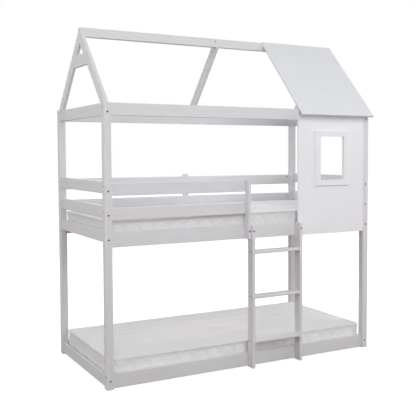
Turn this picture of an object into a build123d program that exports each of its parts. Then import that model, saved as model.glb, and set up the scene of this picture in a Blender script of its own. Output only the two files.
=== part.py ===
from build123d import *
import os
from math import atan2, cos, sin, tan

os.makedirs("parts", exist_ok=True)

# Children's bunk bed with a house-shaped roof frame over the upper bed. X runs along
# the bed, the ladder and the low wall with its window are on the -Y side and +Z is up.
# The origin is on the floor under the middle of the whole outline.

# Frame: four square posts, with boards let in between them on their centre lines.
bed_length = 1970
bed_depth = 970
post_height = 1705
roof_rise = 500
post_width = 45
post_ease = 3
foot_chamfer = 2
board_thickness = 20
board_ease = 2
cut_overrun = 5

# Boards at five heights. The end boards stand a little above the side boards, so that
# the bolts of one pass clear of the bolts of the other inside the post.
lower_rail_foot = 5
lower_side_rail_height = 88
lower_end_rail_height = 72
upper_rail_foot = 850
upper_side_rail_height = 90
upper_end_rail_step = 28
upper_end_rail_height = 74
lower_guard_gap = 72
upper_guard_gap = 73
lower_guard_height = 72
upper_guard_height = 75
end_guard_step = 12
upper_end_guard_height = 73
top_rail_height = 75

# Height of each bolt above the lower edge of the board that it holds, or below the upper.
lower_side_bolt_drop = 14
lower_end_bolt_drop = 25
upper_side_bolt_up = 12
upper_end_bolt_up = 18
lower_guard_bolt_drop = 22
lower_end_guard_bolt_up = 17
upper_guard_bolt_drop = 19
upper_end_guard_bolt_up = 15
top_side_bolt_drop = 22
top_end_bolt_up = 20

# Bolts through the posts, each drawn up into a cross nut in the board's end.
fastener_sides = 8
bolt_radius = 3
bolt_head_radius = 5.5
bolt_head_height = 3.5
bolt_head_seat = 4
bolt_past_nut = 1
bore_gap = 0.3
nut_radius = 5
nut_length = 14
nut_setback = 33

# Guard post, rear batten and ladder
guard_post_width = 20
guard_post_depth = 45
batten_width = 46
batten_offset = 5
batten_above_guard = 18
stile_width = 20
stile_depth = 65
stile_bevel = 10
ladder_clear_width = 350
rung_depth = 60
rung_thickness = 22
rung_ease = 5
rung_count = 3
first_rung_top = 186
last_rung_drop = 166
ladder_bolt_up = 51
ladder_bolt_bite = 12

# Wall panel with its window, and the trim round the window
wall_width = 560
panel_thickness = 12.5
panel_ease = 1.5
window_width = 200
window_height = 300
window_head_drop = 184
trim_width = 40
trim_thickness = 10
trim_ease = 2

# Roof frame and roof panel
beam_width = 45
beam_depth = 57
rafter_depth = 68
middle_rafter_shift = 12
middle_rafter_drop = 13
collar_height = 75
collar_share = 0.638
roof_panel_length = 760
roof_side_overhang = 5

# Bed bases
ledger_width = 20
ledger_height = 18
ledger_foot = 2
ledger_end_gap = 42
slat_count = 13
slat_width = 70
slat_thickness = 15
slat_end_gap = 0.5
slat_ease = 2

# Mattresses
mattress_side_gap = 2.5
mattress_height = 134
mattress_crown = 34
mattress_corner_gap = 2
mattress_gap = 0.3
mattress_end_roll = 260
tape_height = 12
tape_bulge = 5
side_draw = 4
channel_count = 5
channel_radius = 16
channel_depth = 4

# Places that follow from the sizes
ridge_height = post_height + roof_rise
roof_slope = atan2(roof_rise, bed_depth / 2)
eave_reach = roof_panel_length * cos(roof_slope) + panel_thickness * sin(roof_slope)
board_recess = (post_width - board_thickness) / 2
ladder_reach = bed_depth / 2 - board_recess + stile_depth
front_reach = max(eave_reach, ladder_reach)
centre_x = -roof_side_overhang / 2
centre_y = (front_reach - bed_depth / 2) / 2
left_face = centre_x - bed_length / 2
right_face = centre_x + bed_length / 2
front_face = centre_y - bed_depth / 2
rear_face = centre_y + bed_depth / 2
left_x = left_face + post_width / 2
right_x = right_face - post_width / 2
front_y = front_face + post_width / 2
rear_y = rear_face - post_width / 2
left_inner = left_face + post_width
right_inner = right_face - post_width
front_inner = front_face + post_width
rear_inner = rear_face - post_width
side_board_length = right_inner - left_inner
end_board_length = rear_inner - front_inner
front_rail_face = front_y - board_thickness / 2
rear_rail_face = rear_y + board_thickness / 2

# Feet of the boards from floor to roof
upper_rail_top = upper_rail_foot + upper_side_rail_height
lower_guard_foot = upper_rail_top + lower_guard_gap
lower_guard_top = lower_guard_foot + lower_guard_height
upper_guard_foot = lower_guard_top + upper_guard_gap
upper_guard_top = upper_guard_foot + upper_guard_height
top_rail_foot = post_height - top_rail_height
upper_end_rail_foot = upper_rail_foot + upper_end_rail_step
lower_end_guard_foot = lower_guard_foot + end_guard_step
upper_end_guard_foot = upper_guard_foot + end_guard_step

# Side and end boards: foot, height, bolt height
side_boards = {
    "rail_lower": (
        lower_rail_foot,
        lower_side_rail_height,
        lower_rail_foot + lower_side_rail_height - lower_side_bolt_drop,
    ),
    "rail_upper": (upper_rail_foot, upper_side_rail_height, upper_rail_foot + upper_side_bolt_up),
    "guard_lower": (lower_guard_foot, lower_guard_height, lower_guard_top - lower_guard_bolt_drop),
    "guard_upper": (upper_guard_foot, upper_guard_height, upper_guard_top - upper_guard_bolt_drop),
    "top_rail": (top_rail_foot, top_rail_height, post_height - top_side_bolt_drop),
}
end_boards = {
    "rail_lower": (
        lower_rail_foot,
        lower_end_rail_height,
        lower_rail_foot + lower_end_rail_height - lower_end_bolt_drop,
    ),
    "rail_upper": (upper_end_rail_foot, upper_end_rail_height, upper_end_rail_foot + upper_end_bolt_up),
    "guard_lower": (lower_end_guard_foot, lower_guard_height, lower_end_guard_foot + lower_end_guard_bolt_up),
    "guard_upper": (
        upper_end_guard_foot,
        upper_end_guard_height,
        upper_end_guard_foot + upper_end_guard_bolt_up,
    ),
    "top_rail": (top_rail_foot, top_rail_height, top_rail_foot + top_end_bolt_up),
}

# Each bolt's shank runs from its seat in the post through the nut in the board.
bore_radius = bolt_radius + bore_gap
head_bore_radius = bolt_head_radius + bore_gap
nut_bore_radius = nut_radius + bore_gap
bolt_length = post_width - bolt_head_seat + nut_setback + nut_radius + bolt_past_nut
board_bore_depth = nut_setback + nut_radius + bolt_past_nut + bore_gap
nut_bore_depth = (board_thickness + nut_length) / 2

# From the front right post to the left: wall panel, ladder, guard post, front guards
wall_left = right_inner - wall_width
right_stile_x = wall_left - stile_width / 2
left_stile_x = right_stile_x - ladder_clear_width - stile_width
front_guard_end = left_stile_x - stile_width / 2
guard_post_x = front_guard_end - guard_post_width / 2
stile_y = front_rail_face - stile_depth / 2
guard_post_y = front_rail_face - guard_post_depth / 2
batten_x = left_face + bed_length / 2 - batten_offset
stile_height = upper_rail_top
rung_pitch = (stile_height - last_rung_drop - first_rung_top) / (rung_count - 1)
ladder_bolt_z = upper_rail_foot + ladder_bolt_up

# Posts. The front right post carries the wall panel in place of the front guards.
side_bolt_seats = []
end_bolt_seats = []
for x_name, post_x, x_out in (("left", left_x, -1), ("right", right_x, 1)):
    for y_name, post_y, y_out in (("front", front_y, -1), ("rear", rear_y, 1)):
        has_guards = x_name == "left" or y_name == "rear"
        side_planes = []
        for board, (foot, height, bolt_z) in side_boards.items():
            if has_guards or "guard" not in board:
                side_planes.append(
                    Plane((post_x + x_out * post_width / 2, post_y, bolt_z), z_dir=(x_out, 0, 0))
                )
        end_planes = []
        for foot, height, bolt_z in end_boards.values():
            end_planes.append(
                Plane((post_x, post_y + y_out * post_width / 2, bolt_z), z_dir=(0, y_out, 0))
            )
        side_bolt_seats += [plane.offset(-bolt_head_seat) for plane in side_planes]
        end_bolt_seats += [plane.offset(-bolt_head_seat) for plane in end_planes]
        with BuildPart() as post:
            with BuildSketch():
                with Locations((post_x, post_y)):
                    RectangleRounded(post_width, post_width, post_ease)
            extrude(amount=post_height)
            chamfer(post.faces().sort_by(Axis.Z)[0].edges(), length=foot_chamfer)
            with BuildSketch(*side_planes, *end_planes):
                RegularPolygon(head_bore_radius, fastener_sides)
            extrude(amount=-bolt_head_seat, mode=Mode.SUBTRACT)
            with BuildSketch(*side_planes, *end_planes):
                RegularPolygon(bore_radius, fastener_sides)
            extrude(amount=-post_width - cut_overrun, mode=Mode.SUBTRACT)
        name = f"post_{y_name}_{x_name}"
        post.part.label = name
        export_step(post.part, f"parts/{name}.step")

# Side boards, along the bed. The front guards stop behind the guard post.
side_nut_places = []
for board, (foot, height, bolt_z) in side_boards.items():
    for y_name, board_y, inward in (("front", front_y, 1), ("rear", rear_y, -1)):
        short = "guard" in board and y_name == "front"
        length = front_guard_end - left_inner if short else side_board_length
        ends = ((left_inner, 1),) if short else ((left_inner, 1), (right_inner, -1))
        inner_face = board_y + inward * board_thickness / 2
        bolt_planes = [Plane((end, board_y, bolt_z), z_dir=(-away, 0, 0)) for end, away in ends]
        nut_planes = [
            Plane((end + away * nut_setback, inner_face, bolt_z), z_dir=(0, inward, 0))
            for end, away in ends
        ]
        side_nut_places += [plane.offset(-board_thickness / 2) for plane in nut_planes]
        with BuildPart() as side_board:
            with BuildSketch(Plane.YZ.offset(left_inner)) as section:
                with Locations((board_y, foot + height / 2)):
                    Rectangle(board_thickness, height)
                chamfer(section.vertices(), length=board_ease)
            extrude(amount=length)
            with BuildSketch(*bolt_planes):
                RegularPolygon(bore_radius, fastener_sides)
            extrude(amount=-board_bore_depth, mode=Mode.SUBTRACT)
            with BuildSketch(*nut_planes):
                RegularPolygon(nut_bore_radius, fastener_sides)
            extrude(amount=-nut_bore_depth, mode=Mode.SUBTRACT)
            if board == "rail_upper" and y_name == "front":
                ladder_planes = [
                    Plane((bolt_x, front_rail_face, ladder_bolt_z), z_dir=(0, -1, 0))
                    for bolt_x in (guard_post_x, left_stile_x, right_stile_x)
                ]
                with BuildSketch(*ladder_planes):
                    RegularPolygon(bore_radius, fastener_sides)
                extrude(amount=-ladder_bolt_bite - bore_gap, mode=Mode.SUBTRACT)
        name = f"side_{board}_{y_name}"
        side_board.part.label = name
        export_step(side_board.part, f"parts/{name}.step")

# End boards, across the bed at the head and the foot
end_nut_places = []
for board, (foot, height, bolt_z) in end_boards.items():
    for x_name, board_x, inward in (("left", left_x, 1), ("right", right_x, -1)):
        inner_face = board_x + inward * board_thickness / 2
        ends = ((front_inner, 1), (rear_inner, -1))
        bolt_planes = [Plane((board_x, end, bolt_z), z_dir=(0, -away, 0)) for end, away in ends]
        nut_planes = [
            Plane((inner_face, end + away * nut_setback, bolt_z), z_dir=(inward, 0, 0))
            for end, away in ends
        ]
        end_nut_places += [plane.offset(-board_thickness / 2) for plane in nut_planes]
        with BuildPart() as end_board:
            with BuildSketch(Plane.XZ.offset(-rear_inner)) as section:
                with Locations((board_x, foot + height / 2)):
                    Rectangle(board_thickness, height)
                chamfer(section.vertices(), length=board_ease)
            extrude(amount=end_board_length)
            with BuildSketch(*bolt_planes):
                RegularPolygon(bore_radius, fastener_sides)
            extrude(amount=-board_bore_depth, mode=Mode.SUBTRACT)
            with BuildSketch(*nut_planes):
                RegularPolygon(nut_bore_radius, fastener_sides)
            extrude(amount=-nut_bore_depth, mode=Mode.SUBTRACT)
        name = f"end_{board}_{x_name}"
        end_board.part.label = name
        export_step(end_board.part, f"parts/{name}.step")

# Bolts that hold the side boards, bolts that hold the end boards, and their nuts
with BuildPart() as side_board_bolts:
    with BuildSketch(*side_bolt_seats):
        RegularPolygon(bolt_radius, fastener_sides)
    extrude(amount=-bolt_length)
    with BuildSketch(*side_bolt_seats):
        RegularPolygon(bolt_head_radius, fastener_sides)
    extrude(amount=bolt_head_height)
side_board_bolts.part.label = "side_board_bolts"
export_step(side_board_bolts.part, "parts/side_board_bolts.step")

with BuildPart() as end_board_bolts:
    with BuildSketch(*end_bolt_seats):
        RegularPolygon(bolt_radius, fastener_sides)
    extrude(amount=-bolt_length)
    with BuildSketch(*end_bolt_seats):
        RegularPolygon(bolt_head_radius, fastener_sides)
    extrude(amount=bolt_head_height)
end_board_bolts.part.label = "end_board_bolts"
export_step(end_board_bolts.part, "parts/end_board_bolts.step")

with BuildPart() as cross_nuts:
    with BuildSketch(*side_nut_places, *end_nut_places):
        RegularPolygon(nut_radius, fastener_sides)
    extrude(amount=nut_length / 2, both=True)
    with BuildSketch(
        *[Plane(place.origin, z_dir=(1, 0, 0)) for place in side_nut_places],
        *[Plane(place.origin, z_dir=(0, 1, 0)) for place in end_nut_places],
    ):
        RegularPolygon(bore_radius, fastener_sides)
    extrude(amount=nut_radius, both=True, mode=Mode.SUBTRACT)
cross_nuts.part.label = "cross_nuts"
export_step(cross_nuts.part, "parts/cross_nuts.step")

# Guard post, ladder and batten. The bolts go through them into the front rail.
with BuildPart() as guard_post:
    with BuildSketch(Plane.XY.offset(upper_rail_foot)) as section:
        with Locations((guard_post_x, guard_post_y)):
            Rectangle(guard_post_width, guard_post_depth)
        chamfer(section.vertices(), length=board_ease)
    extrude(amount=upper_guard_top - upper_rail_foot)
    front_edge = front_rail_face - guard_post_depth
    bolt_plane = Plane((guard_post_x, front_edge, ladder_bolt_z), z_dir=(0, -1, 0))
    with BuildSketch(bolt_plane):
        RegularPolygon(head_bore_radius, fastener_sides)
    extrude(amount=-bolt_head_seat, mode=Mode.SUBTRACT)
    with BuildSketch(bolt_plane):
        RegularPolygon(bore_radius, fastener_sides)
    extrude(amount=-guard_post_depth - cut_overrun, mode=Mode.SUBTRACT)
guard_post.part.label = "guard_post"
export_step(guard_post.part, "parts/guard_post.step")

with BuildPart() as rear_batten:
    with BuildSketch(Plane.XY.offset(upper_rail_foot)) as section:
        with Locations((batten_x, rear_rail_face + panel_thickness / 2)):
            Rectangle(batten_width, panel_thickness)
        chamfer(section.vertices(), length=board_ease)
    extrude(amount=upper_guard_top + batten_above_guard - upper_rail_foot)
rear_batten.part.label = "rear_batten"
export_step(rear_batten.part, "parts/rear_batten.step")

for x_name, stile_x in (("left", left_stile_x), ("right", right_stile_x)):
    front_edge = front_rail_face - stile_depth
    with BuildPart() as stile:
        with BuildSketch(Plane.YZ.offset(stile_x - stile_width / 2)):
            with BuildLine():
                Polyline(
                    (front_edge, 0),
                    (front_rail_face, 0),
                    (front_rail_face, stile_height),
                    (front_edge + stile_bevel, stile_height),
                    (front_edge, stile_height - stile_bevel),
                    close=True,
                )
            make_face()
        extrude(amount=stile_width)
        chamfer(stile.edges().filter_by(Axis.Z), length=board_ease)
        bolt_plane = Plane((stile_x, front_edge, ladder_bolt_z), z_dir=(0, -1, 0))
        with BuildSketch(bolt_plane):
            RegularPolygon(head_bore_radius, fastener_sides)
        extrude(amount=-bolt_head_seat, mode=Mode.SUBTRACT)
        with BuildSketch(bolt_plane):
            RegularPolygon(bore_radius, fastener_sides)
        extrude(amount=-stile_depth - cut_overrun, mode=Mode.SUBTRACT)
    name = f"ladder_stile_{x_name}"
    stile.part.label = name
    export_step(stile.part, f"parts/{name}.step")

for number, place in enumerate(("lower", "middle", "upper")):
    rung_z = first_rung_top + number * rung_pitch - rung_thickness / 2
    with BuildPart() as rung:
        with BuildSketch(Plane.YZ.offset(left_stile_x + stile_width / 2)):
            with Locations((stile_y, rung_z)):
                RectangleRounded(rung_depth, rung_thickness, rung_ease)
        extrude(amount=ladder_clear_width)
    name = f"ladder_rung_{place}"
    rung.part.label = name
    export_step(rung.part, f"parts/{name}.step")

with BuildPart() as ladder_bolts:
    for bolt_x, depth in (
        (guard_post_x, guard_post_depth),
        (left_stile_x, stile_depth),
        (right_stile_x, stile_depth),
    ):
        seat_y = front_rail_face - depth + bolt_head_seat
        shank = depth - bolt_head_seat + ladder_bolt_bite
        seat = Plane((bolt_x, seat_y, ladder_bolt_z), z_dir=(0, -1, 0))
        with BuildSketch(seat):
            RegularPolygon(bolt_radius, fastener_sides)
        extrude(amount=-shank)
        with BuildSketch(seat):
            RegularPolygon(bolt_head_radius, fastener_sides)
        extrude(amount=bolt_head_height)
ladder_bolts.part.label = "ladder_bolts"
export_step(ladder_bolts.part, "parts/ladder_bolts.step")

# Wall panel, flush with the posts' fronts, with its window and four mitred trims
wall_x = wall_left + wall_width / 2
window_z = post_height - window_head_drop - window_height / 2
with BuildPart() as wall_panel:
    with BuildSketch(Plane.XZ.offset(-front_rail_face)):
        with Locations((wall_x, (upper_rail_foot + post_height) / 2)):
            Rectangle(wall_width, post_height - upper_rail_foot)
        with Locations((wall_x, window_z)):
            Rectangle(window_width, window_height, mode=Mode.SUBTRACT)
    extrude(amount=panel_thickness)
wall_panel.part.label = "wall_panel"
export_step(wall_panel.part, "parts/wall_panel.step")

window_corners = [(-1, -1), (1, -1), (1, 1), (-1, 1)]
inner_corners = [
    (wall_x + x * window_width / 2, window_z + z * window_height / 2) for x, z in window_corners
]
outer_corners = [
    (
        wall_x + x * (window_width / 2 + trim_width),
        window_z + z * (window_height / 2 + trim_width),
    )
    for x, z in window_corners
]
for side, place in enumerate(("bottom", "right", "top", "left")):
    following = (side + 1) % len(window_corners)
    with BuildPart() as trim:
        with BuildSketch(Plane.XZ.offset(panel_thickness - front_rail_face)):
            with BuildLine():
                Polyline(
                    outer_corners[side],
                    outer_corners[following],
                    inner_corners[following],
                    inner_corners[side],
                    close=True,
                )
            make_face()
        extrude(amount=trim_thickness)
        front = trim.faces().sort_by(Axis.Y)[0]
        chamfer(front.edges().sort_by(SortBy.LENGTH)[-1], length=trim_ease)
    name = f"window_trim_{place}"
    trim.part.label = name
    export_step(trim.part, f"parts/{name}.step")

# Ridge beam, from gable to gable. Under the roof panel its top corner is planed off.
roof_panel_width = wall_width + post_width + roof_side_overhang
roof_left = right_face + roof_side_overhang - roof_panel_width
ridge = (centre_x, centre_y, ridge_height)
roof_plane = Plane(ridge, x_dir=(1, 0, 0), z_dir=(0, -sin(roof_slope), cos(roof_slope)))
with BuildPart() as ridge_beam:
    with BuildSketch(Plane.YZ.offset(left_x - board_thickness / 2)):
        with Locations((centre_y, ridge_height - beam_depth / 2)):
            RectangleRounded(beam_width, beam_depth, board_ease)
    extrude(amount=right_x - left_x + board_thickness)
    with BuildSketch(roof_plane):
        with Locations((roof_left - centre_x, 0)):
            Rectangle(roof_panel_width, beam_width + beam_depth, align=(Align.MIN, Align.CENTER))
    extrude(amount=beam_width, mode=Mode.SUBTRACT)
ridge_beam.part.label = "ridge_beam"
export_step(ridge_beam.part, "parts/ridge_beam.step")

# Roof panel on the front slope, from the ridge line to the eave past the wall panel
with BuildPart() as roof_panel:
    with BuildSketch(roof_plane):
        with Locations((roof_left - centre_x, 0)):
            Rectangle(roof_panel_width, roof_panel_length, align=(Align.MIN, Align.MAX))
    extrude(amount=panel_thickness)
    chamfer(roof_panel.faces().sort_by(Axis(ridge, roof_plane.z_dir))[-1].edges(), length=panel_ease)
roof_panel.part.label = "roof_panel"
export_step(roof_panel.part, "parts/roof_panel.step")

# Gable rafters, on the middle lines of the posts. Each foot is cut level to stand on its
# post, each head is cut round the ridge beam and meets the other rafter under it.
rafter_drop = rafter_depth / cos(roof_slope)
beam_foot = ridge_height - beam_depth
half_depth = bed_depth / 2
outer_at_beam = ridge_height - beam_width / 2 * tan(roof_slope)
foot_inner = half_depth - rafter_depth / sin(roof_slope)
gable_left = left_x - board_thickness / 2
gable_right = right_x - board_thickness / 2
for x_name, rafter_x in (("left", gable_left), ("right", gable_right)):
    for y_name, side in (("front", -1), ("rear", 1)):
        with BuildPart() as rafter:
            with BuildSketch(Plane.YZ.offset(rafter_x)):
                with BuildLine():
                    Polyline(
                        (centre_y + side * half_depth, post_height),
                        (centre_y + side * beam_width / 2, outer_at_beam),
                        (centre_y + side * beam_width / 2, beam_foot),
                        (centre_y, beam_foot),
                        (centre_y, ridge_height - rafter_drop),
                        (centre_y + side * foot_inner, post_height),
                        close=True,
                    )
                make_face()
            extrude(amount=board_thickness)
            chamfer(rafter.edges().sort_by(SortBy.LENGTH)[-4:], length=board_ease)
        name = f"gable_rafter_{y_name}_{x_name}"
        rafter.part.label = name
        export_step(rafter.part, f"parts/{name}.step")

# Collar boards, cut to the slope between the rafters of each gable
rafter_meeting = ridge_height - rafter_drop
collar_foot = post_height + collar_share * (rafter_meeting - post_height)
for x_name, collar_x in (("left", gable_left), ("right", gable_right)):
    with BuildPart() as collar:
        with BuildSketch(Plane.YZ.offset(collar_x)):
            with BuildLine():
                Polyline(
                    (centre_y - foot_inner, post_height),
                    (centre_y + foot_inner, post_height),
                    (centre_y, rafter_meeting),
                    close=True,
                )
            make_face()
            with Locations((centre_y, collar_foot + collar_height / 2)):
                Rectangle(bed_depth, collar_height, mode=Mode.INTERSECT)
        extrude(amount=board_thickness)
    name = f"gable_collar_{x_name}"
    collar.part.label = name
    export_step(collar.part, f"parts/{name}.step")

# Middle rafter, on the rear slope only, from the rear top rail to the beam. Its head is
# notched to run on under the beam, as far as the beam's front.
middle_x = left_face + bed_length / 2 - board_thickness / 2 + middle_rafter_shift
middle_foot = half_depth - board_recess
middle_head = ridge_height - middle_rafter_drop
middle_slope = atan2(middle_head - post_height, middle_foot - beam_width / 2)
middle_nose = middle_head - rafter_depth / cos(middle_slope) + beam_width * tan(middle_slope)
with BuildPart() as middle_rafter:
    with BuildSketch(Plane.YZ.offset(middle_x)):
        with BuildLine():
            Polyline(
                (centre_y + middle_foot, post_height),
                (centre_y + beam_width / 2, middle_head),
                (centre_y + beam_width / 2, beam_foot),
                (centre_y - beam_width / 2, beam_foot),
                (centre_y - beam_width / 2, middle_nose),
                (centre_y + middle_foot - rafter_depth / sin(middle_slope), post_height),
                close=True,
            )
        make_face()
    extrude(amount=board_thickness)
    chamfer(middle_rafter.edges().sort_by(SortBy.LENGTH)[-4:], length=board_ease)
middle_rafter.part.label = "middle_rafter"
export_step(middle_rafter.part, "parts/middle_rafter.step")

# Bed bases: a ledger along each side rail, and slats across from ledger to ledger
ledger_length = side_board_length - 2 * ledger_end_gap
front_inner_face = front_y + board_thickness / 2
rear_inner_face = rear_y - board_thickness / 2
slat_length = rear_inner_face - front_inner_face - 2 * slat_end_gap
slat_pitch = (ledger_length - slat_width) / (slat_count - 1)
base_levels = {"lower": lower_rail_foot, "upper": upper_rail_foot + ledger_foot}
for level, ledger_z in base_levels.items():
    for y_name, ledger_y in (
        ("front", front_inner_face + ledger_width / 2),
        ("rear", rear_inner_face - ledger_width / 2),
    ):
        with BuildPart() as ledger:
            with BuildSketch(Plane.YZ.offset(left_inner + ledger_end_gap)) as section:
                with Locations((ledger_y, ledger_z + ledger_height / 2)):
                    Rectangle(ledger_width, ledger_height)
                chamfer(section.vertices(), length=board_ease)
            extrude(amount=ledger_length)
        name = f"ledger_{level}_{y_name}"
        ledger.part.label = name
        export_step(ledger.part, f"parts/{name}.step")
    with BuildPart() as slats:
        with BuildSketch(Plane.XZ.offset(-rear_inner_face + slat_end_gap)) as section:
            with Locations((left_face + bed_length / 2, ledger_z + ledger_height + slat_thickness / 2)):
                with GridLocations(slat_pitch, 0, slat_count, 1):
                    Rectangle(slat_width, slat_thickness)
            chamfer(section.vertices(), length=slat_ease)
        extrude(amount=slat_length)
    name = f"slats_{level}"
    slats.part.label = name
    export_step(slats.part, f"parts/{name}.step")

# Mattresses: taped edges, drawn-in sides, and a crown with channels sewn along it
side_rings = (
    (0, tape_bulge),
    (tape_height / 2, 0),
    (tape_height, tape_bulge),
    (mattress_height / 2, tape_bulge + side_draw),
    (mattress_height - tape_height, tape_bulge),
    (mattress_height - tape_height / 2, 0),
    (mattress_height, tape_bulge),
    (mattress_height + mattress_crown + cut_overrun, tape_bulge),
)
bed_middle = (left_face + bed_length / 2, centre_y)
mattress_length = bed_length - post_width - board_thickness - 2 * mattress_side_gap
mattress_width = bed_depth - post_width - board_thickness - 2 * mattress_side_gap
corner_overlap = board_recess - mattress_side_gap
mattress_corner = (corner_overlap * 2**0.5 + mattress_corner_gap) / (1 - 0.5**0.5)
channel_pitch = mattress_width / (channel_count + 1)
crown_top = mattress_height + mattress_crown
crown_radius = ((mattress_width / 2) ** 2 + mattress_crown**2) / (2 * mattress_crown)
for level, ledger_z in base_levels.items():
    mattress_z = ledger_z + ledger_height + slat_thickness + mattress_gap
    with BuildPart() as mattress:
        for ring_z, inset in side_rings:
            with BuildSketch(Plane.XY.offset(mattress_z + ring_z)):
                with Locations(bed_middle):
                    RectangleRounded(
                        mattress_length - 2 * inset, mattress_width - 2 * inset, mattress_corner - inset
                    )
        loft(ruled=True)
        across = Plane((bed_middle[0], centre_y, mattress_z), x_dir=(0, 1, 0), z_dir=(1, 0, 0))
        with BuildSketch(across):
            with BuildLine():
                Polyline(
                    (-mattress_width / 2, mattress_height),
                    (-mattress_width / 2, 0),
                    (mattress_width / 2, 0),
                    (mattress_width / 2, mattress_height),
                )
                ThreePointArc(
                    (mattress_width / 2, mattress_height),
                    (0, crown_top),
                    (-mattress_width / 2, mattress_height),
                )
            make_face()
        extrude(amount=mattress_length, both=True, mode=Mode.INTERSECT)
        along = Plane((bed_middle[0], centre_y, mattress_z), x_dir=(1, 0, 0), z_dir=(0, -1, 0))
        with BuildSketch(along):
            with BuildLine():
                Polyline(
                    (-mattress_length / 2, mattress_height),
                    (-mattress_length / 2, 0),
                    (mattress_length / 2, 0),
                    (mattress_length / 2, mattress_height),
                )
                Line(
                    (mattress_end_roll - mattress_length / 2, crown_top),
                    (mattress_length / 2 - mattress_end_roll, crown_top),
                )
                TangentArc(
                    (mattress_length / 2 - mattress_end_roll, crown_top),
                    (mattress_length / 2, mattress_height),
                    tangent=(1, 0),
                )
                TangentArc(
                    (mattress_end_roll - mattress_length / 2, crown_top),
                    (-mattress_length / 2, mattress_height),
                    tangent=(-1, 0),
                )
            make_face()
        extrude(amount=mattress_width, both=True, mode=Mode.INTERSECT)
        with BuildSketch(across):
            for channel in range(channel_count):
                channel_y = (channel - (channel_count - 1) / 2) * channel_pitch
                drop = crown_radius - (crown_radius**2 - channel_y**2) ** 0.5
                with Locations((channel_y, crown_top - drop + channel_radius - channel_depth)):
                    Circle(channel_radius)
        extrude(amount=mattress_length, both=True, mode=Mode.SUBTRACT)
    name = f"mattress_{level}"
    mattress.part.label = name
    export_step(mattress.part, f"parts/{name}.step")
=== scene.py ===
import math
import bpy
import numpy as np
from mathutils import Matrix, Vector


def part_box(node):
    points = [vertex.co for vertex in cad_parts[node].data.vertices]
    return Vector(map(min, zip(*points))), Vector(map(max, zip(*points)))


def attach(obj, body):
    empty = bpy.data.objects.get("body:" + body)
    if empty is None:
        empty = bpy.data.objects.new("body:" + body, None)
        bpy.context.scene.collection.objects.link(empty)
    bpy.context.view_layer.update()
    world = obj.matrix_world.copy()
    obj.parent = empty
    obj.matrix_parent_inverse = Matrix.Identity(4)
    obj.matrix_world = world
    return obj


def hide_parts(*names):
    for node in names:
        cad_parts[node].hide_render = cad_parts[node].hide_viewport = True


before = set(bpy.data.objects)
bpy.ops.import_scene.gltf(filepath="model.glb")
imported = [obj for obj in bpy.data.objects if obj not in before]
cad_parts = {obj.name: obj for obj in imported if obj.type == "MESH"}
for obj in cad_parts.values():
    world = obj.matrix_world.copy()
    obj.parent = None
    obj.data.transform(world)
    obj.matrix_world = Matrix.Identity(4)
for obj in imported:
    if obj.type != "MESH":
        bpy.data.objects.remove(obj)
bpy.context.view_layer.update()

# Corner posts. Each is one length of planed pine, 45 mm square, with eased edges, drilled
# and counterbored for its bolts, then sprayed with white satin paint that lets the grain
# show as faint ridges. The feet stand straight on the floor.


def new_node(material, kind, sockets=None, **settings):
    node = material.node_tree.nodes.new(kind)
    for name, value in settings.items():
        setattr(node, name, value)
    for name, value in (sockets or {}).items():
        if isinstance(value, bpy.types.NodeSocket):
            material.node_tree.links.new(value, node.inputs[name])
        else:
            node.inputs[name].default_value = value
    return node


def new_finish(name):
    material = bpy.data.materials.new(name)
    material.use_nodes = True
    return material, material.node_tree.nodes["Principled BSDF"]


def object_place(material):
    return new_node(material, "ShaderNodeTexCoord").outputs["Object"]


def noise(material, vector, **sockets):
    return new_node(material, "ShaderNodeTexNoise", {"Vector": vector, **sockets}).outputs["Fac"]


def fade(material, value, low, high):
    """0 where the value is below low, 1 where it is above high."""
    return new_node(
        material,
        "ShaderNodeMapRange",
        {"Value": value, "From Min": low, "From Max": high},
        interpolation_type="SMOOTHSTEP",
    ).outputs["Result"]


def blend_colour(material, share, first, second):
    mix = new_node(material, "ShaderNodeMix", data_type="RGBA")
    for socket, value in ((0, share), (6, first), (7, second)):
        if isinstance(value, bpy.types.NodeSocket):
            material.node_tree.links.new(value, mix.inputs[socket])
        else:
            mix.inputs[socket].default_value = value if socket == 0 else (*value, 1)
    return mix.outputs[2]


def multiply(material, first, second):
    return new_node(
        material, "ShaderNodeMath", {0: first, 1: second}, operation="MULTIPLY"
    ).outputs[0]


def add_bump(material, height, depth, normal=None):
    sockets = {"Height": height, "Distance": depth}
    if normal is not None:
        sockets["Normal"] = normal
    return new_node(material, "ShaderNodeBump", sockets).outputs["Normal"]


def grain_space(material, lean, stretch):
    """Object coordinates turned so that the grain runs along their Z, and drawn out along it."""
    return new_node(
        material,
        "ShaderNodeMapping",
        {"Vector": object_place(material), "Rotation": lean, "Scale": (1, 1, stretch)},
        vector_type="TEXTURE",
    ).outputs["Vector"]


def soft_edges(material, radius):
    """The normal rounded over the edges, and a mask that is 1 on them."""
    rounded = new_node(material, "ShaderNodeBevel", {"Radius": radius}, samples=6).outputs["Normal"]
    flat = new_node(material, "ShaderNodeNewGeometry").outputs["True Normal"]
    along = new_node(
        material, "ShaderNodeVectorMath", {0: rounded, 1: flat}, operation="DOT_PRODUCT"
    ).outputs["Value"]
    return rounded, fade(material, along, 0.99, 0.86)


def finish_shader(material, shader, colour, rough_by, rough_low, rough_high, normal):
    """Links colour, normal, and a roughness that follows a pattern from one level to another."""
    rough = new_node(
        material,
        "ShaderNodeMapRange",
        {"Value": rough_by, "To Min": rough_low, "To Max": rough_high},
    ).outputs["Result"]
    for socket, value in (("Base Color", colour), ("Roughness", rough), ("Normal", normal)):
        material.node_tree.links.new(value, shader.inputs[socket])


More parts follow.
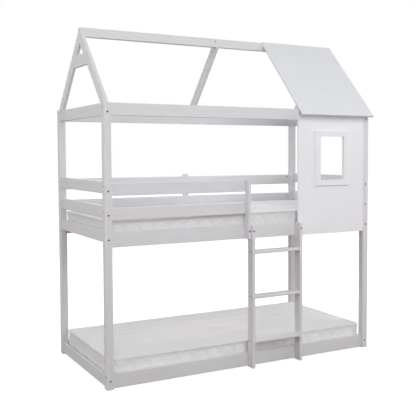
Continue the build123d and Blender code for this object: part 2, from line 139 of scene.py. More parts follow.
def painted_pine(name, lean):
    material, shader = new_finish(name)
    boards = grain_space(material, lean, 16)
    place = object_place(material)
    figure = noise(material, boards, Scale=55, Detail=4, Roughness=0.5, Distortion=0.6)
    fibres = noise(material, boards, Scale=420, Detail=3, Roughness=0.6)
    spray = noise(material, place, Scale=900, Detail=2)
    patches = noise(material, place, Scale=7, Detail=3)
    rounded, edge = soft_edges(material, 0.0016)
    streaks = fade(material, figure, 0.42, 0.64)
    paint = blend_colour(material, streaks, (0.755, 0.748, 0.768), (0.722, 0.714, 0.732))
    paint = blend_colour(material, fade(material, fibres, 0.66, 0.76), paint, (0.675, 0.66, 0.665))
    paint = blend_colour(material, fade(material, patches, 0.35, 0.75), paint, (0.745, 0.732, 0.75))
    worn = multiply(material, edge, fade(material, patches, 0.5, 0.66))
    paint = blend_colour(material, multiply(material, worn, 0.5), paint, (0.69, 0.64, 0.58))
    normal = add_bump(material, figure, 0.0012, rounded)
    normal = add_bump(material, fibres, 0.0003, normal)
    normal = add_bump(material, spray, 0.00008, normal)
    finish_shader(material, shader, paint, spray, 0.48, 0.6, normal)
    shader.inputs["Specular IOR Level"].default_value = 0.15
    return material


def finish_with(material, *nodes):
    for node in nodes:
        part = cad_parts[node]
        part.data.materials.clear()
        part.data.materials.append(material)


corners = ("front_left", "front_right", "rear_left", "rear_right")
upright_pine = painted_pine("paint_on_upright_pine", (0, 0, 0))
finish_with(upright_pine, *[f"post_{corner}" for corner in corners])

# Side boards, along the bed: rails, guards and top rails of 20 mm pine, let in between the
# posts on their centre lines and painted the same white, with the grain along the bed.

rows = ("rail_lower", "rail_upper", "guard_lower", "guard_upper", "top_rail")
lengthwise_pine = painted_pine("paint_on_lengthwise_pine", (0, math.pi / 2, 0))
for row in rows:
    finish_with(lengthwise_pine, f"side_{row}_front", f"side_{row}_rear")

# End boards, across the bed at the head and the foot. The same painted boards, with the
# grain across, a little above the side boards so that the two directions' bolts pass clear.

crosswise_pine = painted_pine("paint_on_crosswise_pine", (math.pi / 2, 0, 0))
for row in rows:
    finish_with(crosswise_pine, f"end_{row}_left", f"end_{row}_right")

# Bolts. Steel with a dark bronzed finish: a round head with a hexagon socket, sunk in its
# counterbore, on a plain shank that reaches the cross nut in the end of the board.


def bronzed_steel():
    material, shader = new_finish("bronzed_steel")
    rub = noise(material, object_place(material), Scale=350, Detail=4)
    rounded, edge = soft_edges(material, 0.0005)
    rubbed = fade(material, rub, 0.35, 0.7)
    coat = blend_colour(material, rubbed, (0.011, 0.004, 0.003), (0.03, 0.011, 0.008))
    coat = blend_colour(material, multiply(material, edge, 0.2), coat, (0.1, 0.07, 0.055))
    normal = add_bump(material, rub, 0.00005, rounded)
    finish_shader(material, shader, coat, rub, 0.34, 0.55, normal)
    shader.inputs["Metallic"].default_value = 0.1
    shader.inputs["Specular IOR Level"].default_value = 0.2
    return material


def pick(part, faces=None, edges=None):
    """In edit mode, selects the faces or edges whose middle passes the given test."""
    bpy.ops.object.mode_set(mode="OBJECT")
    mesh = part.data
    for items in (mesh.vertices, mesh.edges, mesh.polygons):
        items.foreach_set("select", [False] * len(items))
    if faces is not None:
        for face in mesh.polygons:
            face.select = faces(face.center, face.normal)
    if edges is not None:
        for edge in mesh.edges:
            a, b = (mesh.vertices[v].co for v in edge.vertices)
            edge.select = edges((a + b) / 2, (b - a).normalized())
    bpy.ops.object.mode_set(mode="EDIT")
    bpy.ops.mesh.select_mode(type="EDGE" if edges is not None else "FACE")


def begin(name):
    """Names the primitive just added and opens it in edit mode."""
    part = bpy.context.object
    part.name = name
    part.data.name = name
    bpy.ops.object.transform_apply(location=True, rotation=True, scale=True)
    bpy.ops.object.mode_set(mode="EDIT")
    return part


def close(part, angle=35):
    """Back to object mode, with smooth faces that break at sharp edges."""
    bpy.ops.mesh.select_all(action="SELECT")
    bpy.ops.mesh.normals_make_consistent(inside=False)
    bpy.ops.object.mode_set(mode="OBJECT")
    bpy.ops.object.shade_smooth_by_angle(angle=math.radians(angle))
    return part


def set_out(model, name, places):
    """One piece of copies of the model, each with its own mesh, at the given places."""
    bpy.ops.object.select_all(action="DESELECT")
    copies = []
    for place in places:
        copy = model.copy()
        copy.data = model.data.copy()
        copy.data.transform(place)
        bpy.context.scene.collection.objects.link(copy)
        copy.select_set(True)
        copies.append(copy)
    bpy.context.view_layer.objects.active = copies[0]
    if len(copies) > 1:
        bpy.ops.object.join()
    copies[0].name = name
    copies[0].data.name = name
    return copies[0]


def corners_of(part):
    found = np.zeros(len(part.data.vertices) * 3)
    part.data.vertices.foreach_get("co", found)
    return found.reshape(-1, 3)


def separate_solids(node):
    """Each loose solid of a CAD node as an array of its corners."""
    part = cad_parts[node]
    keys, index = np.unique(np.round(corners_of(part), 6), axis=0, return_inverse=True)
    index = index.ravel()
    group = np.arange(len(keys))
    faces = [[index[v] for v in face.vertices] for face in part.data.polygons]
    changed = True
    while changed:
        changed = False
        for face in faces:
            low = min(group[v] for v in face)
            for v in face:
                if group[v] != low:
                    group[v] = low
                    changed = True
    return [keys[group == g] for g in np.unique(group)]


def axis_of(solid):
    """The middles of the two ends of a turned solid, the wider end first."""
    low, high = solid.min(0), solid.max(0)
    axis = int(np.argmax(high - low))
    middle = (low + high) / 2
    ends = []
    for level in (low[axis], high[axis]):
        rim = solid[np.abs(solid[:, axis] - level) < 1e-5]
        end = middle.copy()
        end[axis] = level
        ends.append((np.linalg.norm(rim - end, axis=1).max(), end))
    ends.sort(key=lambda e: -e[0])
    return Vector(ends[0][1]), Vector(ends[1][1])


def push_in(depth):
    """Extrudes the selected faces downwards."""
    bpy.ops.mesh.extrude_region_move(TRANSFORM_OT_translate={"value": (0, 0, -depth)})


def aim(origin, out):
    """A matrix that sets a piece modelled along Z at the origin, pointing out."""
    return Matrix.Translation(origin) @ Vector(out).to_track_quat("Z", "Y").to_matrix().to_4x4()


bolt_head_radius = 0.0056
bolt_head_height = 0.0035
bolt_head_ease = 0.0008
bolt_shank_radius = 0.0029
bolt_shank_length = 0.0795
bolt_socket_reach = 0.0024
bolt_socket_depth = 0.0024
bpy.ops.object.select_all(action="DESELECT")
bpy.ops.mesh.primitive_cylinder_add(
    vertices=24,
    radius=bolt_head_radius,
    depth=bolt_head_height,
    location=(0, 0, -bolt_head_height / 2),
)
bolt = begin("bolt")
pick(bolt, faces=lambda middle, normal: normal.z > 0.9)
bpy.ops.mesh.inset(thickness=bolt_head_radius - bolt_socket_reach)
bpy.ops.object.mode_set(mode="OBJECT")
for corner in bolt.data.vertices:
    reach = math.hypot(corner.co.x, corner.co.y)
    if corner.co.z > -1e-6 and reach < bolt_head_radius - 1e-4:
        turn = math.atan2(corner.co.y, corner.co.x)
        flat = math.cos(math.pi / 6) / math.cos((turn % (math.pi / 3)) - math.pi / 6)
        corner.co.x *= bolt_socket_reach * flat / reach
        corner.co.y *= bolt_socket_reach * flat / reach
bpy.ops.object.mode_set(mode="EDIT")
pick(bolt, faces=lambda middle, normal: normal.z > 0.9 and middle.length < 1e-4)
push_in(bolt_socket_depth)
pick(
    bolt,
    edges=lambda middle, along: middle.z > -1e-6
    and math.hypot(middle.x, middle.y) > bolt_head_radius * 0.95,
)
bpy.ops.mesh.bevel(offset=bolt_head_ease, segments=3, affect="EDGES")
pick(bolt, faces=lambda middle, normal: normal.z < -0.9 and middle.z < -bolt_head_height * 0.9)
bpy.ops.mesh.inset(thickness=bolt_head_radius - bolt_shank_radius)
push_in(bolt_shank_length)
close(bolt)
bolt.data.materials.append(bronzed_steel())
for node, piece in (
    ("side_board_bolts", "side_bolts_turned"),
    ("end_board_bolts", "end_bolts_turned"),
    ("ladder_bolts", "ladder_bolts_turned"),
):
    places = []
    for solid in separate_solids(node):
        head, tip = axis_of(solid)
        places.append(aim(head, head - tip))
    bolts = set_out(bolt, piece, places)
    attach(bolts, "bed")
    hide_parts(node)

# Cross nuts. Steel barrels, about 10 mm across, dropped into a bore on the inner face of
# each board, with a slot at the end so that a screwdriver can turn the thread to the bolt.

nut_radius = 0.00475
nut_length = 0.014
nut_slot_half_width = 0.0007
nut_slot_level = 0.82
bpy.ops.object.select_all(action="DESELECT")
bpy.ops.mesh.primitive_cylinder_add(vertices=24, radius=nut_radius, depth=nut_length)
nut = begin("nut")
for side in (1, -1):
    bpy.ops.mesh.select_all(action="SELECT")
    bpy.ops.mesh.bisect(plane_co=(side * nut_slot_half_width, 0, 0), plane_no=(side, 0, 0))
pick(nut, faces=lambda middle, normal: abs(normal.z) > 0.9 and abs(middle.x) < 0.0005)
bpy.ops.mesh.inset(thickness=0.0001)
push_in(0)
bpy.ops.transform.resize(value=(1, 1, nut_slot_level), center_override=(0, 0, 0))
close(nut)
nut.data.materials.append(bolt.data.materials[0])
places = []
for solid in separate_solids("cross_nuts"):
    low, high = solid.min(0), solid.max(0)
    out = Vector((0, 0, 0))
    out[int(np.argmax(high - low))] = 1
    places.append(aim(Vector((low + high) / 2), out))
nuts = set_out(nut, "cross_nuts_turned", places)
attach(nuts, "bed")
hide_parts("cross_nuts")

# Guard post, rear batten and ladder. Painted pine again: the stiles stand on edge against
# the front rail with their top corner cut off, and three flat rungs join them.

finish_with(upright_pine, "guard_post", "rear_batten", "ladder_stile_left", "ladder_stile_right")
finish_with(lengthwise_pine, *[f"ladder_rung_{place}" for place in ("lower", "middle", "upper")])

# Screws. Countersunk screws with a cross recess, in the same bronzed steel as the bolts.
# Two go through the stile into each end of a rung.

screw_head_radius = 0.0038
screw_head_height = 0.003
screw_head_drop = 0.0006
screw_shank_radius = 0.0016
screw_shank_length = 0.016
recess_half_width = 0.0005
recess_reach = 0.0021
recess_depth = 0.0007
rung_screw_spread = 0.0125
bpy.ops.object.select_all(action="DESELECT")
bpy.ops.mesh.primitive_cone_add(
    vertices=24,
    radius1=screw_shank_radius,
    radius2=screw_head_radius,
    depth=screw_head_height,
    location=(0, 0, -screw_head_drop),
)
screw = begin("screw")
for reach in (recess_half_width, recess_reach):
    for line in ((1, 0, 0), (0, 1, 0)):
        for side in (-1, 1):
            bpy.ops.mesh.select_all(action="SELECT")
            bpy.ops.mesh.bisect(plane_co=[side * reach * k for k in line], plane_no=line)
pick(
    screw,
    faces=lambda middle, normal: normal.z > 0.9
    and min(abs(middle.x), abs(middle.y)) < recess_half_width
    and max(abs(middle.x), abs(middle.y)) < recess_reach,
)
push_in(recess_depth)
pick(screw, faces=lambda middle, normal: normal.z < -0.9)
push_in(screw_shank_length)
close(screw)
screw.data.materials.append(bolt.data.materials[0])
ladder_sides = (
    (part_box("ladder_stile_left")[0].x, (-1, 0, 0)),
    (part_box("ladder_stile_right")[1].x, (1, 0, 0)),
)
places = []
for level in ("lower", "middle", "upper"):
    rung_low, rung_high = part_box(f"ladder_rung_{level}")
    rung_middle = (rung_low + rung_high) / 2
    for shift in (-rung_screw_spread, rung_screw_spread):
        for x, out in ladder_sides:
            places.append(aim((x, rung_middle.y + shift, rung_middle.z), out))
rung_screws = set_out(screw, "rung_screws", places)
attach(rung_screws, "bed")

# Wall panel and window trim. A 12.5 mm board with a smooth sprayed face, whiter than the
# pine, and four mitred trims glued round the window. Four screws, painted over, hold the
# panel to the rails behind it.


# The two tones are paint that varies at random over the board. For the roof panel both are also set
# darker as painted shade.
def sprayed_board(name, lean, fresh_paint_and_shade, older_paint_and_shade):
    material, shader = new_finish(name)
    place = object_place(material)
    spray = noise(material, place, Scale=700, Detail=3, Roughness=0.6)
    roller = noise(material, grain_space(material, lean, 6), Scale=40, Detail=3)
    clouds = noise(material, place, Scale=4, Detail=3)
    rounded, edge = soft_edges(material, 0.0014)
    paint = blend_colour(material, fade(material, clouds, 0.3, 0.7), fresh_paint_and_shade, older_paint_and_shade)
    paint = blend_colour(material, fade(material, roller, 0.5, 0.7), paint, older_paint_and_shade)
    worn = multiply(material, edge, fade(material, clouds, 0.5, 0.64))
    paint = blend_colour(material, multiply(material, worn, 0.4), paint, (0.72, 0.68, 0.63))
    normal = add_bump(material, roller, 0.0002, rounded)
    normal = add_bump(material, spray, 0.00012, normal)
    finish_shader(material, shader, paint, roller, 0.48, 0.58, normal)
    shader.inputs["Specular IOR Level"].default_value = 0.15
    return material


panel_paint = sprayed_board(
    "paint_on_panels", (0, 0, 0), (0.895, 0.895, 0.92), (0.88, 0.878, 0.903)
)
finish_with(panel_paint, "wall_panel")
finish_with(panel_paint, *[f"window_trim_{side}" for side in ("bottom", "right", "top", "left")])
wall_low, wall_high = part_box("wall_panel")
foot_screws_up = 0.042
top_screws_down = 0.049
places = []
for z, shares in (
    (wall_low.z + foot_screws_up, (0.488, 0.883)),
    (wall_high.z - top_screws_down, (0.1, 0.9)),
):
    for share in shares:
        x = wall_low.x + share * (wall_high.x - wall_low.x)
        places.append(aim((x, wall_low.y, z), (0, -1, 0)))
wall_screws = set_out(screw, "wall_screws", places)
wall_screws.data.materials.clear()
wall_screws.data.materials.append(panel_paint)
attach(wall_screws, "bed")

# Roof frame. Rafters of 20 mm pine cut level on the posts and plumb against the ridge
# beam, a collar board in each gable and one middle rafter on the rear slope. Screws hold
# the middle rafter to the beam and the batten to the rear boards.

roof_half_span = 0.485
roof_rise = 0.5
roof_lean = math.atan2(roof_half_span, roof_rise)
front_slope_pine = painted_pine("paint_on_front_slope_pine", (-roof_lean, 0, 0))
rear_slope_pine = painted_pine("paint_on_rear_slope_pine", (roof_lean, 0, 0))
finish_with(lengthwise_pine, "ridge_beam")
finish_with(crosswise_pine, "gable_collar_left", "gable_collar_right")
finish_with(front_slope_pine, "gable_rafter_front_left", "gable_rafter_front_right")
finish_with(rear_slope_pine, "gable_rafter_rear_left", "gable_rafter_rear_right", "middle_rafter")
batten_low, batten_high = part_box("rear_batten")
batten_screw_spread = 0.011
places = [aim((-0.008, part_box("ridge_beam")[0].y, 2.186), (0, -1, 0))]
for level in ("rail_upper", "guard_lower", "guard_upper"):
    board_low, board_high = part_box(f"side_{level}_rear")
    middle = (board_low.z + board_high.z) / 2
    for shift in (-batten_screw_spread, batten_screw_spread):
        x = (batten_low.x + batten_high.x) / 2 + shift
        places.append(aim((x, batten_high.y, middle + shift), (0, 1, 0)))
places.append(aim((-0.001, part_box("side_guard_upper_rear")[0].y, 1.192), (0, -1, 0)))
frame_screws = set_out(screw, "frame_screws", places)
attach(frame_screws, "bed")

# Roof panel. The same sprayed board as the wall, laid on the front slope from the ridge to
# the eave and fixed from below, so that its face shows no screws.

# Painted shade: the roof panel is the same white board as the wall, but its paint is set darker
# because its upward face takes more of the lamps' light.
roof_paint_with_painted_shade = sprayed_board(
    "paint_on_roof_panel", (-roof_lean, 0, 0), (0.8, 0.8, 0.82), (0.785, 0.785, 0.805)
)
finish_with(roof_paint_with_painted_shade, "roof_panel")

# Bed bases. Bare pine: a ledger along each side rail carries thirteen slats, each held by
# a screw at both ends.


def bare_pine(name, lean):
    material, shader = new_finish(name)
    boards = grain_space(material, lean, 12)
    rings = new_node(
        material,
        "ShaderNodeTexWave",
        {"Vector": boards, "Scale": 14, "Distortion": 7, "Detail": 3, "Detail Scale": 0.6},
        wave_type="RINGS",
        rings_direction="Z",
    ).outputs["Fac"]
    fibres = noise(material, boards, Scale=500, Detail=3)
    knots = new_node(
        material, "ShaderNodeTexVoronoi", {"Vector": object_place(material), "Scale": 4.5}
    ).outputs["Distance"]
    rounded = soft_edges(material, 0.0012)[0]
    wood = blend_colour(material, rings, (0.66, 0.49, 0.3), (0.5, 0.33, 0.17))
    wood = blend_colour(material, fade(material, fibres, 0.45, 0.8), wood, (0.45, 0.3, 0.16))
    wood = blend_colour(material, fade(material, knots, 0.075, 0.04), wood, (0.22, 0.11, 0.05))
    normal = add_bump(material, rings, 0.0003, rounded)
    normal = add_bump(material, fibres, 0.0003, normal)
    finish_shader(material, shader, wood, fibres, 0.55, 0.75, normal)
    return material


ledger_pine = bare_pine("bare_pine_lengthwise", (0, math.pi / 2, 0))
slat_pine = bare_pine("bare_pine_crosswise", (math.pi / 2, 0, 0))
slat_screw_drop = 0.0007
places = []
for level in ("lower", "upper"):
    finish_with(ledger_pine, f"ledger_{level}_front", f"ledger_{level}_rear")
    finish_with(slat_pine, f"slats_{level}")
    ledger_ys = [
        sum(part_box(f"ledger_{level}_{side}"), Vector()).y / 2 for side in ("front", "rear")
    ]
    for solid in separate_solids(f"slats_{level}"):
        low, high = solid.min(0), solid.max(0)
        for y in ledger_ys:
            x, z = (low[0] + high[0]) / 2, high[2] - slat_screw_drop
            places.append(aim((x, y, z), (0, 0, 1)))
slat_screws = set_out(screw, "slat_screws", places)
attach(slat_screws, "bed")

# Mattresses. Foam in a quilted knitted cover: the top panel crowns between lengthwise
# stitch lines, the border is drawn in between two piped seams and quilted in crossing
# waves. Each lies loose on its slats between the rails.


def knitted_cover(name, border, top):
    material, shader = new_finish(name)
    place = object_place(material)
    loops = new_node(
        material,
        "ShaderNodeTexWave",
        {"Vector": place, "Scale": 120, "Distortion": 1.5, "Detail": 2},
        bands_direction="DIAGONAL",
    ).outputs["Fac"]
    ribs = new_node(
        material,
        "ShaderNodeTexWave",
        {"Vector": place, "Scale": 17, "Distortion": 0.6, "Detail": 2},
        bands_direction="Y",
    ).outputs["Fac"]
    crush = noise(material, place, Scale=9, Detail=5)
    up_facing_for_painted_light = new_node(
        material,
        "ShaderNodeSeparateXYZ",
        {0: new_node(material, "ShaderNodeNewGeometry").outputs["True Normal"]},
    ).outputs["Z"]
    # Painted light and shade: the border and the top of the same cloth get different tones by which
    # way the face points. This stands in for how the lamps light them, not for a difference in the
    # fabric.
    cloth = blend_colour(material, fade(material, up_facing_for_painted_light, 0.4, 0.8), border, top)
    dull = multiply(material, fade(material, crush, 0.3, 0.7), 0.3)
    cloth = blend_colour(material, dull, cloth, (0.76, 0.75, 0.76))
    cloth = blend_colour(material, multiply(material, ribs, 0.25), cloth, (0.76, 0.75, 0.76))
    cloth = blend_colour(material, multiply(material, loops, 0.25), cloth, (0.75, 0.74, 0.75))
    normal = add_bump(material, ribs, 0.0012)
    normal = add_bump(material, crush, 0.002, normal)
    normal = add_bump(material, loops, 0.0003, normal)
    finish_shader(material, shader, cloth, crush, 0.82, 0.95, normal)
    shader.inputs["Sheen Weight"].default_value = 0.05
    shader.inputs["Sheen Roughness"].default_value = 0.5
    shader.inputs["Specular IOR Level"].default_value = 0.1
    return material


def set_corners(part, found):
    part.data.vertices.foreach_set("co", found.ravel())
    part.data.update()


def smooth_rise(value, low, high):
    """0 below low and 1 above high, as fade does in a material."""
    share = np.clip((value - low) / (high - low), 0, 1)
    return share * share * (3 - 2 * share)


# Lit and shaded copies of one cover: the lower mattress has a lighter border and the upper a
# lighter top, as painted light and shade.
covers_with_painted_light = {
    "lower": knitted_cover("cover_lower", (0.96, 0.955, 0.965), (0.81, 0.805, 0.815)),
    "upper": knitted_cover("cover_upper", (0.79, 0.78, 0.785), (0.96, 0.95, 0.955)),
}
pad_low, pad_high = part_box("mattress_lower")
pad_middle = (pad_low + pad_high) / 2
pad_half = (pad_high - pad_low) / 2
seam_top = pad_low.z + 0.128
seam_foot = pad_low.z + 0.006
pad_inset = 0.003
pad_raise = 0.00225
pad_spare_height = 0.0035
corner_radius = 0.045
voxel = 0.01
crown = 0.026
crown_run_out = 0.2
channel_pitch = 0.15
channel_ys = [pad_middle.y + channel_pitch * k for k in (-2, -1, 0, 1, 2)]

bpy.ops.object.select_all(action="DESELECT")
bpy.ops.mesh.primitive_cube_add(
    size=1, location=(pad_middle.x, pad_middle.y, (seam_top + pad_low.z) / 2 + pad_raise)
)
bpy.context.object.scale = (
    2 * (pad_half.x - pad_inset),
    2 * (pad_half.y - pad_inset),
    seam_top - pad_low.z + pad_spare_height,
)
pad = begin("mattress_pad")
pick(pad, edges=lambda middle, along: abs(along.z) > 0.9)
bpy.ops.mesh.bevel(offset=corner_radius, segments=10, affect="EDGES")
bpy.ops.object.mode_set(mode="OBJECT")
pad.data.remesh_voxel_size = voxel
bpy.ops.object.voxel_remesh()
shape = corners_of(pad)
start_x = 1 - np.abs(shape[:, 0] - pad_middle.x) / pad_half.x
start_y = 1 - np.abs(shape[:, 1] - pad_middle.y) / pad_half.y
dome = smooth_rise(start_x, 0, crown_run_out) * (1 - (1 - np.clip(start_y, 0, 1)) ** 2)
lift = smooth_rise(shape[:, 2], seam_top - 0.02, seam_top + 0.004)
shape[:, 2] += lift * crown * dome
set_corners(pad, shape)


def inside_by(shape):
    """How far inside the pad's rounded outline each point lies, seen from above."""
    reach_x = pad_half.x - pad_inset - corner_radius
    reach_y = pad_half.y - pad_inset - corner_radius
    over_x = np.abs(shape[:, 0] - pad_middle.x) - reach_x
    over_y = np.abs(shape[:, 1] - pad_middle.y) - reach_y
    beyond = np.hypot(np.maximum(over_x, 0), np.maximum(over_y, 0))
    return corner_radius - beyond - np.minimum(np.maximum(over_x, over_y), 0)


swell_pressure = 4
swell_steps = 20
swell_limit = 0.012
shape = corners_of(pad)
margin = inside_by(shape)
on_seam = (margin < 0.012) & (np.abs(shape[:, 2] - seam_top) < 0.009)
on_foot = shape[:, 2] < seam_foot + 0.008
on_channel = np.zeros(len(shape), bool)
for channel_y in channel_ys:
    on_channel |= (np.abs(shape[:, 1] - channel_y) < 0.006) & (margin > 0.04)
on_channel &= shape[:, 2] > seam_top
stitched = pad.vertex_groups.new(name="stitched")
stitched.add([int(v) for v in np.flatnonzero(on_seam | on_foot | on_channel)], 1, "REPLACE")
stuffing = pad.modifiers.new("stuffing", "CLOTH")
stuffing.settings.use_pressure = True
stuffing.settings.uniform_pressure_force = swell_pressure
stuffing.settings.effector_weights.gravity = 0
stuffing.settings.vertex_group_mass = "stitched"
stuffing.point_cache.frame_start = 1
stuffing.point_cache.frame_end = swell_steps
for step in range(1, swell_steps + 1):
    bpy.context.scene.frame_set(step)
graph = bpy.context.evaluated_depsgraph_get()
puffed = corners_of(pad.evaluated_get(graph))
bpy.context.scene.frame_set(1)
pad.modifiers.remove(stuffing)
pad.vertex_groups.clear()
travel = puffed - shape
length = np.linalg.norm(travel, axis=1, keepdims=True)
held = swell_limit * np.tanh(length / swell_limit)
travel *= np.where(length > 1e-9, held / np.maximum(length, 1e-9), 0)
set_corners(pad, shape + travel)

bpy.context.view_layer.objects.active = pad
finer = pad.modifiers.new("finer", "SUBSURF")
finer.levels = 1
finer.render_levels = 1
bpy.ops.object.modifier_apply(modifier=finer.name)

head_sink = 0.012
channel_depth = 0.0038
channel_width = 0.008
channel_wander = 0.0015
quilt_depth = 0.0032
quilt_width = 0.0085
quilt_length = 0.2
quilt_swing = 0.043
side_draw = 0.004
outline_ease = 0.009
outline_reach = 0.008
piping_radius = 0.0042
piping_inset = 0.001


def settled(shape, level):
    """The upper mattress sinks a little towards the head end."""
    if level == "upper":
        sink = head_sink * smooth_rise(-shape[:, 0], -0.1, 0.7)
        shape[:, 2] -= sink * np.clip((shape[:, 2] - seam_foot) / (seam_top - seam_foot), 0, 1)
    return shape


for level, phase in (("lower", 0.0), ("upper", 1.9)):
    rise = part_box(f"mattress_{level}")[0].z - pad_low.z
    body = f"mattress_{level}"
    mattress = pad.copy()
    mattress.data = pad.data.copy()
    mattress.name = f"mattress_{level}_padded"
    mattress.data.name = mattress.name
    bpy.context.scene.collection.objects.link(mattress)
    shape = corners_of(mattress)
    normals = np.zeros(len(shape) * 3)
    mattress.data.vertex_normals.foreach_get("vector", normals)
    normals = normals.reshape(-1, 3)
    margin = inside_by(shape)
    height = shape[:, 2]
    push = np.zeros(len(shape))
    on_top = smooth_rise(height, seam_top, seam_top + 0.006) * smooth_rise(margin, 0.004, 0.03)
    for channel_y in channel_ys:
        wander = channel_wander * np.sin(shape[:, 0] * 9 + channel_y * 40 + phase)
        away = (shape[:, 1] - channel_y - wander) / channel_width
        push -= channel_depth * on_top * np.exp(-(away**2))
    along = np.where(np.abs(normals[:, 1]) > np.abs(normals[:, 0]), shape[:, 0], shape[:, 1])
    border = smooth_rise(height, seam_foot + 0.004, seam_foot + 0.012)
    border *= 1 - smooth_rise(height, seam_top - 0.012, seam_top - 0.004)
    seam_middle = (seam_top + seam_foot) / 2
    for turn in (0, math.pi):
        wave = 2 * math.pi / quilt_length
        line = seam_middle + quilt_swing * np.sin(wave * along + turn + phase)
        tilt = quilt_swing * wave * np.cos(wave * along + turn + phase)
        away = np.abs(height - line) / np.sqrt(1 + tilt * tilt)
        push -= quilt_depth * border * np.exp(-((away / quilt_width) ** 2))
    near_seam = np.exp(-np.abs(height - seam_top) / 0.018) * border
    push += 0.0008 * near_seam * np.sin(along * 260 + 3 * np.sin(along * 31 + phase))
    push += 0.0012 * on_top * np.sin(shape[:, 0] * 21 + 5 * np.sin(shape[:, 1] * 13 + phase))
    shape += normals * push[:, None]
    drawn = side_draw * (1 - ((shape[:, 0] - pad_middle.x) / pad_half.x) ** 2)
    side = smooth_rise(np.abs(shape[:, 1] - pad_middle.y), pad_half.y - 0.06, pad_half.y - 0.01)
    shape[:, 1] -= np.sign(shape[:, 1] - pad_middle.y) * drawn * side * border
    for axis in (0, 1):
        out = shape[:, axis] - pad_middle[axis]
        over = np.maximum(np.abs(out) - pad_half[axis] + outline_ease, 0)
        shape[:, axis] -= np.sign(out) * (over - outline_reach * np.tanh(over / outline_reach))
    shape[:, 2] = np.maximum(shape[:, 2], pad_low.z)
    set_corners(mattress, settled(shape, level) + (0, 0, rise))
    mattress.data.polygons.foreach_set("use_smooth", [True] * len(mattress.data.polygons))
    mattress.data.materials.append(covers_with_painted_light[level])
    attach(mattress, body)
    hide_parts(body)
    for seam, height in (("top", seam_top), ("foot", seam_foot)):
        bpy.ops.object.select_all(action="DESELECT")
        bpy.ops.mesh.primitive_plane_add(size=1, location=(pad_middle.x, pad_middle.y, height))
        bpy.context.object.scale = (
            2 * (pad_half.x - pad_inset - piping_inset),
            2 * (pad_half.y - pad_inset - piping_inset),
            1,
        )
        begin(f"mattress_{level}_piping_{seam}")
        bpy.ops.mesh.select_all(action="SELECT")
        bpy.ops.mesh.bevel(offset=corner_radius - piping_inset, segments=12, affect="VERTICES")
        bpy.ops.mesh.delete(type="ONLY_FACE")
        bpy.ops.mesh.select_all(action="SELECT")
        bpy.ops.mesh.subdivide(number_cuts=9)
        bpy.ops.object.mode_set(mode="OBJECT")
        bpy.ops.object.convert(target="CURVE")
        bpy.context.object.data.bevel_depth = piping_radius
        bpy.context.object.data.bevel_resolution = 3
        bpy.ops.object.convert(target="MESH")
        piping = bpy.context.object
        set_corners(piping, settled(corners_of(piping), level) + (0, 0, rise))
        piping.data.polygons.foreach_set("use_smooth", [True] * len(piping.data.polygons))
        piping.data.materials.append(covers_with_painted_light[level])
        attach(piping, body)

for model in (bolt, nut, screw, pad):
    bpy.data.objects.remove(model)

# Floor, light and camera. A plain pale floor that runs off to white, soft boxes in front,
# at both sides, behind and overhead, a white surround, and the camera at the photograph's
# viewing angle, with its shift and focal length in pixels of the frame.


def seen_or_mirrored(material):
    """1 for rays from the camera, off a gloss or through glass, and 0 for the rest."""
    path = new_node(material, "ShaderNodeLightPath").outputs
    share = path["Is Camera Ray"]
    for kind in ("Is Glossy Ray", "Is Transmission Ray"):
        share = new_node(
            material, "ShaderNodeMath", {0: share, 1: path[kind]}, operation="MAXIMUM"
        ).outputs[0]
    return share


bpy.ops.object.select_all(action="DESELECT")
bpy.ops.mesh.primitive_plane_add(size=60, location=(0, 0, 0))
floor = bpy.context.object
floor.name = "floor"
ground = bpy.data.materials.new("pale_floor")
ground.use_nodes = True
links = ground.node_tree.links
ground.node_tree.nodes.remove(ground.node_tree.nodes["Principled BSDF"])
plain = new_node(ground, "ShaderNodeBsdfDiffuse", {"Color": (0.19, 0.12, 0.115, 1)})
pale = new_node(ground, "ShaderNodeBsdfDiffuse", {"Color": (0.42, 0.42, 0.43, 1)})
reach = new_node(
    ground, "ShaderNodeVectorMath", {0: object_place(ground)}, operation="LENGTH"
).outputs["Value"]
glow = new_node(
    ground,
    "ShaderNodeMapRange",
    {"Value": reach, "From Min": 1.6, "From Max": 3.6, "To Min": 0.84, "To Max": 1.0},
).outputs["Result"]
white = new_node(ground, "ShaderNodeEmission", {"Color": (1, 1, 1, 1), "Strength": glow})
shown = new_node(ground, "ShaderNodeAddShader")
links.new(pale.outputs[0], shown.inputs[0])
links.new(white.outputs[0], shown.inputs[1])
choice = new_node(ground, "ShaderNodeMixShader", {0: seen_or_mirrored(ground)})
links.new(plain.outputs[0], choice.inputs[1])
links.new(shown.outputs[0], choice.inputs[2])
links.new(choice.outputs[0], ground.node_tree.nodes["Material Output"].inputs["Surface"])
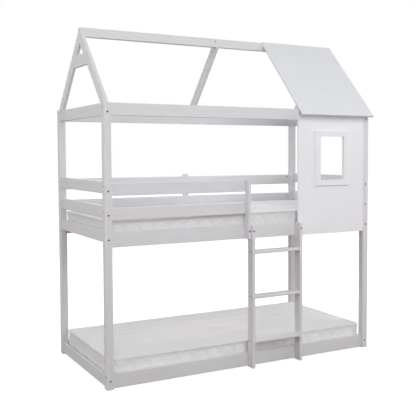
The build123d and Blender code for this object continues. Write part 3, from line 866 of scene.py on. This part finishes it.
floor.data.materials.append(ground)

surround = bpy.data.worlds.new("surround")
bpy.context.scene.world = surround
surround.use_nodes = True
sky = surround.node_tree.nodes["Background"]
sky.inputs["Color"].default_value = (1, 1, 1, 1)
strength = new_node(
    surround,
    "ShaderNodeMapRange",
    {"Value": seen_or_mirrored(surround), "To Min": 0.19, "To Max": 1.0},
).outputs["Result"]
surround.node_tree.links.new(strength, sky.inputs["Strength"])

lit_middle = Vector((0, 0, 1.1))
for name, place, width, watts in (
    ("key_right", (0.4, -4.2, 4.2), 3.2, 48),
    ("key_left", (-3.0, -4.2, 4.0), 3.0, 64),
    ("fill_left", (-5.0, -0.5, 2.2), 3.0, 85),
    ("fill_front", (0.0, -5.5, 1.6), 3.0, 72),
    ("fill_right", (4.5, -2.5, 2.5), 3.0, 75),
    ("side_right", (4.8, 1.2, 2.2), 3.0, 67),
    ("back", (0.0, 4.5, 3.0), 3.0, 132),
    ("overhead", (0.0, 0.3, 5.4), 3.0, 17),
):
    lamp = bpy.data.lights.new(name, "AREA")
    lamp.shape = "RECTANGLE"
    lamp.size = width
    lamp.size_y = 2.4
    lamp.energy = watts
    lamp.color = (0.972, 0.992, 1.0)
    soft_box = bpy.data.objects.new(name, lamp)
    soft_box.location = place
    towards = lit_middle - soft_box.location
    soft_box.rotation_euler = towards.to_track_quat("-Z", "Y").to_euler()
    bpy.context.scene.collection.objects.link(soft_box)

frame_width = 416
focal_length = 725.6
axis_x, axis_y = 241.1, 193.2
lens = bpy.data.cameras.new("camera")
lens.sensor_width = 36
lens.lens = focal_length / frame_width * lens.sensor_width
lens.shift_x = (frame_width / 2 - axis_x) / frame_width
lens.shift_y = (axis_y - frame_width / 2) / frame_width
camera = bpy.data.objects.new("camera", lens)
camera.location = (-2.401, -4.5247, 1.3999)
camera.rotation_euler = [math.radians(a) for a in (86.927, 0.13, -29.84)]
bpy.context.scene.collection.objects.link(camera)
bpy.context.scene.camera = camera
bpy.context.scene.view_settings.view_transform = "Standard"
